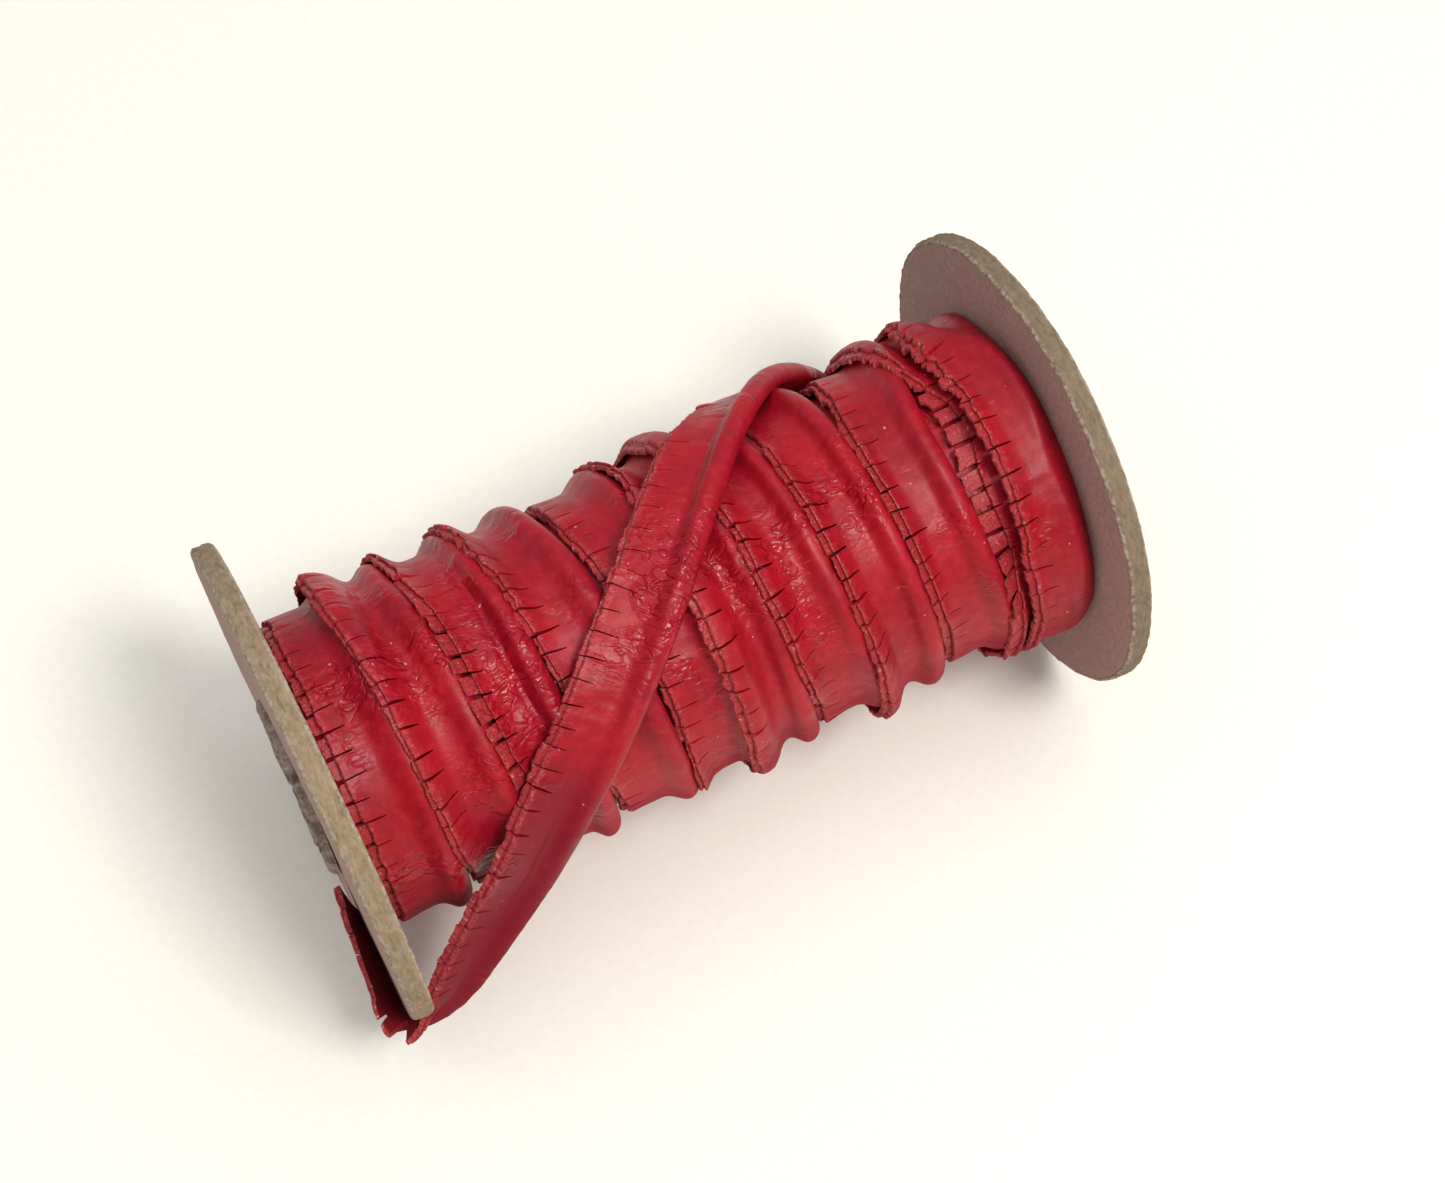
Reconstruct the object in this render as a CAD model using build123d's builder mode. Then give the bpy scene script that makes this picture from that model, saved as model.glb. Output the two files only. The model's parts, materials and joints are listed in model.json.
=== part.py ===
"""Greyboard spool of nicked leather piping, lying on its side. Millimetres.

The spool's axis runs along X, Z is up and Z = 0 is the surface that it rests on.
The origin is under the middle of the axis. "Angle" is measured round the axis:
0 at the front (-Y), 90 at the top, 180 at the back, -90 at the bottom.
"""

import math
import os

from build123d import *

# Greyboard discs
DISC_RADIUS = 32.0
DISC_THICKNESS = 2.9
DISC_GAP = 98.8  # between the two inner faces
DISC_EDGE_ROUND = 0.5
REST_FLAT_DEPTH = 0.16  # the worn flat that each disc stands on

# Paper tubes
BORE_RADIUS = 9.7
CORE_WALL = 1.1
BARREL_WALL = 1.6
CURL_RADIUS = 1.2  # the core's ends are rolled out over the discs
PAPER_CLEARANCE = 0.05

# Start tape, under the first turns
TAPE_WIDTH = 14.0
TAPE_ANGLE = 70.0
TAPE_THICKNESS = 0.15
TAPE_START = 8.0  # from the left disc's inner face

# Piping
TURNS = 10
LAYER_GAP = 0.06
LAYER_END_CLEARANCE = 0.2
INNER_LAYERS = 3
INNER_LAYER_HEIGHT = 1.95
OUTER_LAYER_RADIUS = 21.6
FLANGE_SHARE = 0.62  # of the pitch, from the nicked edge to the valley beside the bead
VALLEY_DEPTH = 0.75

# The loose tail, as one round solid of about the flat strip's section
TAIL_DIAMETER = 4.4
TAIL_ROUTE = [  # along the axis, angle, radius
    (42.4, -120, 25.2),
    (37.4, -150, 25.0),
    (29.8, -180, 25.2),
    (20.6, -209, 25.0),
    (11.2, -238, 25.1),
    (0.2, -268, 25.0),
    (-12.0, -299, 25.0),
    (-23.6, -329, 25.0),
    (-32.6, -356, 25.6),
    (-40.6, -378, 29.6),
    (-47.2, -391, 35.2),
    (-55.3, -394, 35.0),
    (-55.7, -399, 24.5),
    (-54.9, -403, 12.6),
]
TAIL_RIM_CORNERS = (10, 11)  # the two corners that bend the tail round the disc's rim
TAIL_RIM_RADIUS = 4.4

AXIS_HEIGHT = DISC_RADIUS - REST_FLAT_DEPTH
HALF_GAP = DISC_GAP / 2
OUTER_FACE = HALF_GAP + DISC_THICKNESS
CORE_RADIUS = BORE_RADIUS + CORE_WALL
BARREL_BORE = CORE_RADIUS + PAPER_CLEARANCE
BARREL_RADIUS = BARREL_BORE + BARREL_WALL
TAPE_BORE = BARREL_RADIUS + PAPER_CLEARANCE
FIRST_LAYER_BORE = TAPE_BORE + TAPE_THICKNESS + LAYER_GAP
OUTER_LAYER_BORE = FIRST_LAYER_BORE + INNER_LAYERS * (INNER_LAYER_HEIGHT + LAYER_GAP)
WOUND_LENGTH = DISC_GAP - 2 * LAYER_END_CLEARANCE
PITCH = WOUND_LENGTH / TURNS

SPOOL_AXIS = Axis((0, 0, AXIS_HEIGHT), (1, 0, 0))
# Half section: local x runs along the spool's axis, local y is the radius
HALF_SECTION = Plane(origin=(0, 0, AXIS_HEIGHT), x_dir=(1, 0, 0), z_dir=(0, -1, 0))
# Cross section: local x is Y, local y is the height above the axis
CROSS_SECTION = Plane(origin=(0, 0, AXIS_HEIGHT), x_dir=(0, 1, 0), z_dir=(1, 0, 0))


def save(part, label):
    """Labels a finished piece and writes it to its own file."""
    part.label = label
    export_step(part, f"parts/{label}.step")


def around_spool(along, angle, radius):
    """The point at this place along the axis, angle and distance from the axis."""
    turn = math.radians(angle)
    return (
        along,
        -radius * math.cos(turn),
        AXIS_HEIGHT + radius * math.sin(turn),
    )


def disc(inner_face):
    """A greyboard disc that grows towards +X from this plane, with its worn flat."""
    with BuildPart() as board:
        with BuildSketch(CROSS_SECTION.offset(inner_face)):
            Circle(DISC_RADIUS)
            with Locations((0, REST_FLAT_DEPTH / 2)):
                Rectangle(
                    2 * DISC_RADIUS,
                    2 * DISC_RADIUS - REST_FLAT_DEPTH,
                    mode=Mode.INTERSECT,
                )
            Circle(CORE_RADIUS + PAPER_CLEARANCE, mode=Mode.SUBTRACT)
        extrude(amount=DISC_THICKNESS)
        rims = board.edges().filter_by(GeomType.CIRCLE)
        rims = rims.filter_by(lambda edge: edge.radius > DISC_RADIUS / 2)
        flats = board.edges().filter_by(Axis.Y)
        fillet(rims + flats, radius=DISC_EDGE_ROUND)
    return board.part


def ring(low, high, inner_radius, outer_radius):
    """A plain tube between two places along the spool's axis."""
    with BuildPart() as tube:
        with BuildSketch(CROSS_SECTION.offset(low)):
            Circle(outer_radius)
            Circle(inner_radius, mode=Mode.SUBTRACT)
        extrude(amount=high - low)
    return tube.part


def winding(inner_radius, outer_radius, nicked_side):
    """One layer of piping: in each turn a flange slopes from its nicked edge to a valley, then
    rises over the round bead. nicked_side is -1 where each flange overlaps the turn on its left,
    and 1 on its right."""
    valley = outer_radius - VALLEY_DEPTH
    with BuildPart() as layer:
        with BuildSketch(HALF_SECTION):
            with BuildLine():
                start = -nicked_side * WOUND_LENGTH / 2
                step = nicked_side * PITCH
                last = (-start, inner_radius)
                here = (-start, outer_radius)
                Line(last, here)
                for turn in range(TURNS):
                    edge = -start - turn * step
                    dip = (edge - FLANGE_SHARE * step, valley)
                    crest = (edge - (1 + FLANGE_SHARE) / 2 * step, outer_radius - 0.1)
                    foot = (edge - step, valley)
                    Line(here, dip)
                    ThreePointArc(dip, crest, foot)
                    here = foot
                    if turn < TURNS - 1:
                        here = (edge - step, outer_radius)
                        Line(foot, here)
                Line(here, (start, inner_radius))
                Line((start, inner_radius), last)
            make_face()
        revolve(axis=SPOOL_AXIS)
    return layer.part


os.makedirs("parts", exist_ok=True)

# The two greyboard discs
with BuildPart() as left_disc:
    add(disc(-OUTER_FACE))
save(left_disc.part, "left_disc")

with BuildPart() as right_disc:
    add(disc(HALF_GAP))
save(right_disc.part, "right_disc")

# The barrel keeps the discs apart and carries the piping
with BuildPart() as barrel_tube:
    add(ring(-HALF_GAP + PAPER_CLEARANCE, HALF_GAP - PAPER_CLEARANCE, BARREL_BORE, BARREL_RADIUS))
save(barrel_tube.part, "barrel_tube")

# The core tube runs through barrel and discs, and its rolled ends clamp them together
with BuildPart() as core_tube:
    seat = OUTER_FACE + PAPER_CLEARANCE
    lip = BORE_RADIUS + 2 * CURL_RADIUS
    nose = BORE_RADIUS + CURL_RADIUS
    with BuildSketch(HALF_SECTION):
        with BuildLine():
            Line((-seat, BORE_RADIUS), (seat, BORE_RADIUS))
            ThreePointArc((seat, BORE_RADIUS), (seat + CURL_RADIUS, nose), (seat, lip))
            Polyline(
                (seat, lip),
                (seat, CORE_RADIUS),
                (-seat, CORE_RADIUS),
                (-seat, lip),
            )
            ThreePointArc((-seat, lip), (-seat - CURL_RADIUS, nose), (-seat, BORE_RADIUS))
        make_face()
    revolve(axis=SPOOL_AXIS)
save(core_tube.part, "core_tube")

# A patch of paper tape holds the first turn's end to the barrel
with BuildPart() as start_tape:
    with BuildSketch(HALF_SECTION):
        with Locations((-HALF_GAP + TAPE_START + TAPE_WIDTH / 2, TAPE_BORE + TAPE_THICKNESS / 2)):
            Rectangle(TAPE_WIDTH, TAPE_THICKNESS)
    revolve(axis=SPOOL_AXIS, revolution_arc=TAPE_ANGLE)
save(start_tape.part, "start_tape")

# The piping's hidden layers, wound to and fro
for number in range(INNER_LAYERS):
    bottom = FIRST_LAYER_BORE + number * (INNER_LAYER_HEIGHT + LAYER_GAP)
    side = -1 if number % 2 else 1
    with BuildPart() as inner_layer:
        add(winding(bottom, bottom + INNER_LAYER_HEIGHT, side))
    save(inner_layer.part, f"piping_layer_{number + 1}")

# The piping's outer layer, whose nicked edges lie over the turn on their left
with BuildPart() as piping_outer_layer:
    add(winding(OUTER_LAYER_BORE, OUTER_LAYER_RADIUS, -1))
save(piping_outer_layer.part, "piping_outer_layer")

# The tail crosses the winding, goes round the left disc's rim and ends at the core's rolled lip
tail_points = [around_spool(*place) for place in TAIL_ROUTE]
tail_radii = []
for corner in range(1, len(tail_points) - 1):
    before, point, after = (Vector(*tail_points[corner + k]) for k in (-1, 0, 1))
    half_turn = math.radians((point - before).get_angle(after - point)) / 2
    shorter_run = min((point - before).length, (after - point).length)
    radius = 0.45 * shorter_run / math.tan(half_turn)
    if corner in TAIL_RIM_CORNERS:
        radius = min(radius, TAIL_RIM_RADIUS)
    tail_radii.append(radius)
print("tail corner radii", [round(radius, 1) for radius in tail_radii])

with BuildPart() as piping_tail:
    with BuildLine() as tail_line:
        FilletPolyline(*tail_points, radius=tail_radii)
    with BuildSketch(Plane(origin=tail_line.line @ 0, z_dir=tail_line.line % 0)):
        Circle(TAIL_DIAMETER / 2)
    sweep()
tail_length = tail_line.wire().length
section = math.pi * TAIL_DIAMETER**2 / 4
print("tail length", round(tail_length, 1), "volume over section times length",
      round(piping_tail.part.volume / (section * tail_length), 4))
save(piping_tail.part, "piping_tail")
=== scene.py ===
"""The looks of a greyboard spool of nicked leather piping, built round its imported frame.

Blender's units are metres. Lengths named here are in millimetres and angles in degrees unless
they say otherwise. A place on the spool is (along, angle, radius): along its axis from the
middle, the angle round it (0 at the front, 90 at the top, 180 at the back, -90 at the bottom)
and the distance from the axis.
"""

import itertools
import json
import math

import bpy
import numpy as np
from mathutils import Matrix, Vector


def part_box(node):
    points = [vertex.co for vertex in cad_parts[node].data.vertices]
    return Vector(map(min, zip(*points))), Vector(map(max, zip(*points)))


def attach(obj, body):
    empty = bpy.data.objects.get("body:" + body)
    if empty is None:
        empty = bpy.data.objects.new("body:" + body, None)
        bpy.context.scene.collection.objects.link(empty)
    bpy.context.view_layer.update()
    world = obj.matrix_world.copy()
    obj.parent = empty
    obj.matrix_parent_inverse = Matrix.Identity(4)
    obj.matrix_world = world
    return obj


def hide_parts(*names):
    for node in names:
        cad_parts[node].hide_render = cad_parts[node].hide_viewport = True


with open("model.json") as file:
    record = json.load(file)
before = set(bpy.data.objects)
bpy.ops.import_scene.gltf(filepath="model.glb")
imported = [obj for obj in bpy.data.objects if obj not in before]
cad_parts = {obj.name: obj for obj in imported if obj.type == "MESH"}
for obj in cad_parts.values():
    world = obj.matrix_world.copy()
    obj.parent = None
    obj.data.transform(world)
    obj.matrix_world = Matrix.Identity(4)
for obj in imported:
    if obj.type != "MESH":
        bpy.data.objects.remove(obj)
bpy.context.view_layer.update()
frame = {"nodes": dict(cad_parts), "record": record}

MM = 0.001

# ---------------------------------------------------------------- sizes read from the frame


def span(node):
    """A node's lowest and highest corners in millimetres."""
    low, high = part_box(node)
    return np.array(low) / MM, np.array(high) / MM


AXIS_HEIGHT = frame["record"]["mounts"][0]["pos_m"][2] / MM
BORE_RADIUS = frame["record"]["mounts"][0]["dims"]["r_mm"]
LEFT_OUTER, LEFT_INNER = span("left_disc")[0][0], span("left_disc")[1][0]
RIGHT_INNER, RIGHT_OUTER = span("right_disc")[0][0], span("right_disc")[1][0]
DISC_RADIUS = span("right_disc")[1][1]
CORE_END = span("core_tube")[1][0]
CORE_LIP_RADIUS = span("core_tube")[1][1]
LAYER_TOP = span("piping_layer_3")[1][1]


def to_world(along, angle, radius):
    """World points, in metres, of places on the spool. Angles in radians."""
    return MM * np.stack(
        [
            along + 0 * angle,
            -radius * np.cos(angle) + 0 * along,
            AXIS_HEIGHT + radius * np.sin(angle) + 0 * along,
        ],
        axis=-1,
    )


# ---------------------------------------------------------------- camera

CAMERA_AZIMUTH = 27.44
CAMERA_ELEVATION = 61.01
CAMERA_PLACE = (-60.74, -129.26, 263.71 + AXIS_HEIGHT)
CAMERA_LENS = 58.17  # on a 36 mm wide sensor

camera_data = bpy.data.cameras.new("camera")
camera_data.lens = CAMERA_LENS
camera_data.sensor_width = 36
camera_data.clip_start = 0.01
camera = bpy.data.objects.new("camera", camera_data)
camera.location = Vector(CAMERA_PLACE) * MM
camera.rotation_euler = (
    math.radians(90 - CAMERA_ELEVATION),
    0,
    math.radians(-CAMERA_AZIMUTH),
)
bpy.context.collection.objects.link(camera)
bpy.context.scene.camera = camera

# ---------------------------------------------------------------- general helpers


def noise(points, size, seed):
    """Smooth noise from -1 to 1 that changes over this size, always the same."""
    cell = np.asarray(points, float) / size
    base = np.floor(cell).astype(np.int64)
    part = cell - base
    part = part * part * (3 - 2 * part)
    total = np.zeros(len(cell))
    for corner in itertools.product((0, 1), repeat=3):
        spot = base + np.array(corner)
        mixed = spot[:, 0] * 374761393 + spot[:, 1] * 668265263 + spot[:, 2] * 362437
        mixed = (mixed + seed * 1274126177) & 0xFFFFFFFF
        mixed = ((mixed ^ (mixed >> 13)) * 1274126177) & 0xFFFFFFFF
        mixed = mixed ^ (mixed >> 16)
        share = np.prod(np.where(np.array(corner), part, 1 - part), axis=1)
        total += share * (mixed / 2.0**31 - 1)
    return total


def ease(low, high, value):
    """0 below low, 1 above high and a smooth step between."""
    t = np.clip((np.asarray(value, float) - low) / (high - low), 0, 1)
    return t * t * (3 - 2 * t)


def blur(rows, sigma, axis):
    """Gaussian blur of an array along one axis, with its ends repeated."""
    reach = int(math.ceil(3 * sigma))
    taps = np.exp(-0.5 * (np.arange(-reach, reach + 1) / sigma) ** 2)
    taps /= taps.sum()
    width = [(0, 0)] * rows.ndim
    width[axis] = (reach, reach)
    padded = np.pad(rows, width, mode="edge")
    out = np.zeros_like(rows, dtype=float)
    for k, tap in enumerate(taps):
        out += tap * np.take(padded, range(k, k + rows.shape[axis]), axis=axis)
    return out


def spread_max(rows, reach, axis):
    """Each value becomes the largest within this reach along one axis."""
    width = [(0, 0)] * rows.ndim
    width[axis] = (reach, reach)
    padded = np.pad(rows, width, mode="edge")
    out = rows.copy()
    for k in range(2 * reach + 1):
        out = np.maximum(out, np.take(padded, range(k, k + rows.shape[axis]), axis=axis))
    return out


def through(knots, values, at):
    """A smooth curve through the given knots, read at these places."""
    knots, values, at = np.asarray(knots, float), np.asarray(values, float), np.asarray(at, float)
    slopes = np.gradient(values, knots)
    k = np.clip(np.searchsorted(knots, at) - 1, 0, len(knots) - 2)
    gap = knots[k + 1] - knots[k]
    t = np.clip((at - knots[k]) / gap, 0, 1)
    a, b = values[k], values[k + 1]
    return (
        a * (1 + 2 * t) * (1 - t) ** 2
        + b * t * t * (3 - 2 * t)
        + gap * (slopes[k] * t * (1 - t) ** 2 - slopes[k + 1] * t * t * (1 - t))
    )


def add_mesh(name, vertices, faces, material, sharp_angle, marks):
    """Makes a mesh object from points in metres. It is smooth except at edges over the sharp
    angle, and marks are named values on its vertices."""
    mesh = bpy.data.meshes.new(name)
    mesh.from_pydata(np.asarray(vertices).tolist(), [], faces)
    for mark, values in marks.items():
        values = np.asarray(values, dtype=np.float32)
        vector = values.ndim == 2 and values.shape[1] == 3
        layer = mesh.attributes.new(mark, "FLOAT_VECTOR" if vector else "FLOAT", "POINT")
        layer.data.foreach_set("vector" if vector else "value", values.ravel())
    mesh.polygons.foreach_set("use_smooth", [True] * len(mesh.polygons))
    mesh.set_sharp_from_angle(angle=math.radians(sharp_angle))
    mesh.materials.append(material)
    piece = bpy.data.objects.new(name, mesh)
    bpy.context.collection.objects.link(piece)
    return piece


def closed_grid_faces(rows, columns):
    """Quads of a grid of vertices, row by row, joined round both ways."""
    r, c = np.arange(rows)[:, None], np.arange(columns)[None, :]
    r2, c2 = (r + 1) % rows, (c + 1) % columns
    quads = np.stack(
        [r * columns + c, r * columns + c2, r2 * columns + c2, r2 * columns + c], axis=-1
    )
    return quads.reshape(-1, 4).tolist()


# ---------------------------------------------------------------- materials


class Nodes:
    """A short way to wire a material's nodes. With on_strip, patterns follow the strip's length
    and width, which its mesh carries; otherwise they follow the object's space."""

    def __init__(self, name, on_strip=False):
        self.on_strip = on_strip
        self.material = bpy.data.materials.new(name)
        self.material.use_nodes = True
        self.tree = self.material.node_tree
        self.shader = self.tree.nodes["Principled BSDF"]

    def add(self, kind, inputs=None, **settings):
        """A new node of this kind, with its inputs and its settings."""
        node = self.tree.nodes.new(kind)
        for key, value in settings.items():
            setattr(node, key, value)
        for key, value in (inputs or {}).items():
            self.put(node.inputs[key], value)
        return node

    def put(self, socket, value):
        """Links another node's output to a socket, or sets the socket's own value."""
        if isinstance(value, bpy.types.NodeSocket):
            self.tree.links.new(value, socket)
        else:
            socket.default_value = value

    def place(self):
        """Where each spot is, as the patterns see it."""
        if self.on_strip:
            return self.add("ShaderNodeAttribute", attribute_name="strip").outputs["Vector"]
        return self.add("ShaderNodeTexCoord").outputs["Object"]

    def mark(self, name):
        """A value that the mesh carries on its vertices."""
        return self.add("ShaderNodeAttribute", attribute_name=name).outputs["Fac"]

    def noise(self, size_mm, detail=3.0, stretch=None, rough=0.5, distort=0.0):
        """Noise of about 0 to 1 that changes over this size. stretch repeats it faster or slower
        along each direction."""
        vector = self.place()
        if stretch:
            vector = self.add(
                "ShaderNodeMapping", {"Vector": vector, "Scale": stretch}
            ).outputs[0]
        return self.add(
            "ShaderNodeTexNoise",
            {
                "Vector": vector,
                "Scale": 1000.0 / size_mm,
                "Detail": detail,
                "Roughness": rough,
                "Distortion": distort,
            },
        ).outputs["Fac"]

    def cells(self, size_mm):
        """How far each spot is from the middle of its cell, for cells of about this size."""
        return self.add(
            "ShaderNodeTexVoronoi", {"Vector": self.place(), "Scale": 1000.0 / size_mm}
        ).outputs["Distance"]

    def ramp(self, value, stops):
        """A colour from a value, by stops of (value, colour)."""
        node = self.add("ShaderNodeValToRGB", {"Fac": value})
        ramp = node.color_ramp
        while len(ramp.elements) < len(stops):
            ramp.elements.new(0.5)
        for element, (place, colour) in zip(ramp.elements, stops):
            element.position = place
            element.color = (*colour, 1)
        return node.outputs["Color"]

    def mix(self, share, a, b):
        """Colour a, or b where share is 1."""
        node = self.add("ShaderNodeMix", data_type="RGBA")
        self.put(node.inputs["Factor"], share)
        self.put(node.inputs["A"], a if isinstance(a, bpy.types.NodeSocket) else (*a, 1))
        self.put(node.inputs["B"], b if isinstance(b, bpy.types.NodeSocket) else (*b, 1))
        return node.outputs["Result"]

    def math(self, operation, a, b=0.0):
        """One step of arithmetic."""
        node = self.add("ShaderNodeMath", operation=operation)
        self.put(node.inputs[0], a)
        self.put(node.inputs[1], b)
        return node.outputs[0]

    def scale(self, value, low, high, to_low, to_high):
        """Stretches low..high to to_low..to_high, held at both ends."""
        return self.add(
            "ShaderNodeMapRange",
            {
                "Value": value,
                "From Min": low,
                "From Max": high,
                "To Min": to_low,
                "To Max": to_high,
            },
        ).outputs[0]

    def bumps(self, *layers):
        """Stacks bump maps: each layer is a height value and its depth in millimetres."""
        normal = None
        for height, depth in layers:
            inputs = {"Height": height, "Strength": 1.0, "Distance": depth * MM}
            if normal is not None:
                inputs["Normal"] = normal
            normal = self.add("ShaderNodeBump", inputs).outputs[0]
        self.put(self.shader.inputs["Normal"], normal)

    def finish(self, **values):
        """Sets the shader's inputs and gives the material."""
        for key, value in values.items():
            self.put(self.shader.inputs[key.replace("_", " ")], value)
        return self.material


def leather_material(name, on_strip):
    """Smooth dyed leather: soft shine, fine pores, glossy creased patches except on the spool's
    underside, paler fibres where it is cut or where its flesh side shows, and painted shade."""
    n = Nodes(name, on_strip)
    patches = n.noise(11.0, 3.0)
    mottle = n.noise(1.3, 5.0, rough=0.6)
    patched = n.scale(patches, 0.32, 0.68, 0.0, 0.85)
    colour = n.mix(patched, (0.385, 0.0038, 0.0150), (0.25, 0.0026, 0.0115))
    colour = n.mix(n.scale(mottle, 0.50, 0.74, 0.0, 0.45), colour, (0.54, 0.018, 0.030))
    colour = n.mix(n.scale(mottle, 0.48, 0.30, 0.0, 0.40), colour, (0.22, 0.0025, 0.010))
    # painted shade on the leather, mostly on the tail's lower stretch, from a value the mesh carries
    colour = n.mix(n.math("MULTIPLY", n.mark("dark"), 0.80), colour, (0.18, 0.0020, 0.009))
    fibre = n.noise(0.30, 4.0)
    raw = n.mix(n.scale(fibre, 0.32, 0.66, 0.0, 1.0), (0.19, 0.010, 0.016), (0.50, 0.070, 0.068))
    pale = n.scale(n.noise(0.75, 3.0, rough=0.7), 0.60, 0.68, 0.0, 0.75)
    raw = n.mix(pale, raw, (0.78, 0.46, 0.34))
    cut = n.mark("cut")
    colour = n.mix(cut, colour, raw)
    rubbed = n.math("MULTIPLY", n.mark("worn"), n.scale(n.noise(0.6, 5.0), 0.48, 0.64, 0.0, 0.6))
    colour = n.mix(rubbed, colour, (0.56, 0.070, 0.070))
    scratches = n.scale(n.noise(0.42, 1.0, stretch=(1.0, 0.14, 1.0)), 0.70, 0.78, 0.0, 0.45)
    scratches = n.math("MULTIPLY", scratches, n.scale(n.noise(7.0, 1.0), 0.48, 0.60, 0.0, 1.0))
    colour = n.mix(scratches, colour, (0.66, 0.150, 0.130))
    dust = n.scale(n.noise(0.8, 0.0), 0.86, 0.88, 0.0, 0.5)
    colour = n.mix(dust, colour, (0.74, 0.42, 0.36))
    creased = n.scale(n.noise(9.0, 2.0), 0.55, 0.65, 0.0, 0.6)
    here = n.math("MULTIPLY", n.mark("creased"), n.scale(n.noise(5.0, 2.0), 0.36, 0.52, 0.0, 1.0))
    creased = n.math("MAXIMUM", creased, here)
    under = n.mark("under")
    creased = n.math("MULTIPLY", creased, n.math("SUBTRACT", 1.0, under))
    folds = n.noise(1.6, 1.0, stretch=(1.3, 0.75, 1.0), distort=0.6)
    folds = n.scale(n.math("ABSOLUTE", n.math("SUBTRACT", folds, 0.5)), 0.0, 0.12, 0.0, 1.0)
    folds = n.math("MULTIPLY", folds, creased)
    puckers = n.math("MULTIPLY", n.noise(1.3, 0.6, stretch=(1.3, 0.8, 1.0), distort=0.4), creased)
    grain = n.noise(0.85, 5.0, rough=0.62, distort=0.6)
    grain = n.math("MULTIPLY", grain, n.scale(creased, 0.0, 1.0, 1.0, 0.12))
    grain = n.math("MULTIPLY", grain, n.scale(under, 0.0, 1.0, 1.0, 0.35))
    rough = n.scale(n.noise(2.5, 4.0), 0.3, 0.7, 0.40, 0.52)
    rough = n.math("SUBTRACT", rough, n.math("MULTIPLY", creased, 0.26))
    rough = n.math("ADD", rough, n.math("MULTIPLY", under, 0.38))
    rough = n.math("MAXIMUM", rough, n.math("MULTIPLY", cut, 0.85))
    n.bumps(
        (n.cells(0.50), 0.012),
        (grain, 0.045),
        (folds, 0.16),
        (puckers, 0.40),
        (n.math("MULTIPLY", fibre, cut), 0.14),
    )
    return n.finish(Base_Color=colour, Roughness=rough, Specular_IOR_Level=0.29)


def greyboard_material():
    """Grey-brown pressed board: mottled faces, and a fibrous layered rim that can carry painted
    shade.
    """
    n = Nodes("greyboard")
    flecks = n.noise(0.7, 6.0, rough=0.7)
    cloud = n.noise(7.0, 3.0)
    face = n.ramp(
        flecks,
        [(0.25, (0.27, 0.172, 0.146)), (0.5, (0.39, 0.257, 0.216)), (0.75, (0.52, 0.36, 0.305))],
    )
    face = n.mix(n.scale(cloud, 0.3, 0.7, 0.0, 0.4), face, (0.33, 0.205, 0.176))
    layered = n.noise(1.7, 6.0, stretch=(2.6, 1.0, 1.0), rough=0.74)
    rim = n.ramp(
        layered,
        [(0.28, (0.18, 0.124, 0.075)), (0.48, (0.305, 0.220, 0.137)), (0.74, (0.43, 0.328, 0.214))],
    )
    specks = n.scale(n.noise(0.9, 4.0, rough=0.7), 0.62, 0.72, 0.0, 0.5)
    rim = n.mix(specks, rim, (0.50, 0.40, 0.30))
    # painted shade on a disc's rim, by the share that the mesh carries
    rim = n.mix(n.mark("painted_rim_shade"), rim, (0.12, 0.082, 0.058))
    colour = n.mix(n.mark("rim"), face, rim)
    frayed = n.scale(n.noise(0.8, 5.0, rough=0.7), 0.44, 0.58, 0.0, 0.7)
    frayed = n.math("MULTIPLY", n.mark("corner"), frayed)
    colour = n.mix(frayed, colour, (0.56, 0.46, 0.37))
    pulp = n.noise(0.35, 5.0, rough=0.75)
    n.bumps((flecks, 0.05), (pulp, 0.05), (n.math("MULTIPLY", layered, n.mark("rim")), 0.30))
    return n.finish(Base_Color=colour, Roughness=0.93, Specular_IOR_Level=0.2)


def core_material():
    """Darker wound paper, fibres along the tube, and painted shade in its cracks and folds where
    rolled.
    """
    n = Nodes("core_paper")
    fibre = n.noise(0.9, 6.0, stretch=(0.35, 1.0, 1.0), rough=0.7)
    colour = n.ramp(
        fibre,
        [(0.3, (0.09, 0.056, 0.044)), (0.5, (0.27, 0.19, 0.15)), (0.7, (0.48, 0.37, 0.31))],
    )
    # painted shade in the rolled lip's cracks and folds
    colour = n.mix(n.mark("crease"), colour, (0.055, 0.035, 0.03))
    n.bumps((fibre, 0.20), (n.noise(3.0, 3.0), 0.70), (n.noise(0.3, 4.0), 0.05))
    return n.finish(Base_Color=colour, Roughness=0.9, Specular_IOR_Level=0.25)


def tape_material():
    """Tan paper tape with a crepe texture."""
    n = Nodes("paper_tape")
    crepe = n.noise(0.6, 4.0, stretch=(3.0, 1.0, 1.0))
    colour = n.ramp(crepe, [(0.3, (0.50, 0.37, 0.20)), (0.7, (0.66, 0.52, 0.32))])
    n.bumps((crepe, 0.05))
    return n.finish(Base_Color=colour, Roughness=0.8)


def floor_material():
    """Pale, warm white paper."""
    n = Nodes("floor")
    grain = n.noise(1.2, 4.0)
    colour = n.ramp(grain, [(0.3, (0.875, 0.852, 0.770)), (0.7, (0.905, 0.882, 0.800))])
    n.bumps((grain, 0.01))
    return n.finish(Base_Color=colour, Roughness=0.95, Specular_IOR_Level=0.1)


LEATHER = leather_material("red_leather", on_strip=True)
INNER_LEATHER = leather_material("red_leather_inside", on_strip=False)
GREYBOARD = greyboard_material()
CORE_PAPER = core_material()
TAPE = tape_material()

# ---------------------------------------------------------------- the piping's own section

STRIP_WIDTH = 10.2
PLY = 0.62
FLANGE = 2 * PLY
BEAD_CREST = 8.5  # how far across the corded fold is highest
BEAD_HALF = STRIP_WIDTH - BEAD_CREST
BEAD_RISE = 1.65
SETBACK = 0.85  # the top ply stops this far short of the lower one
NICK_DEPTH = 3.5
NICK_SPACING = 2.9
FLANGE_END = 6.2
GROOVE_PLACE = 6.4


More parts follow.
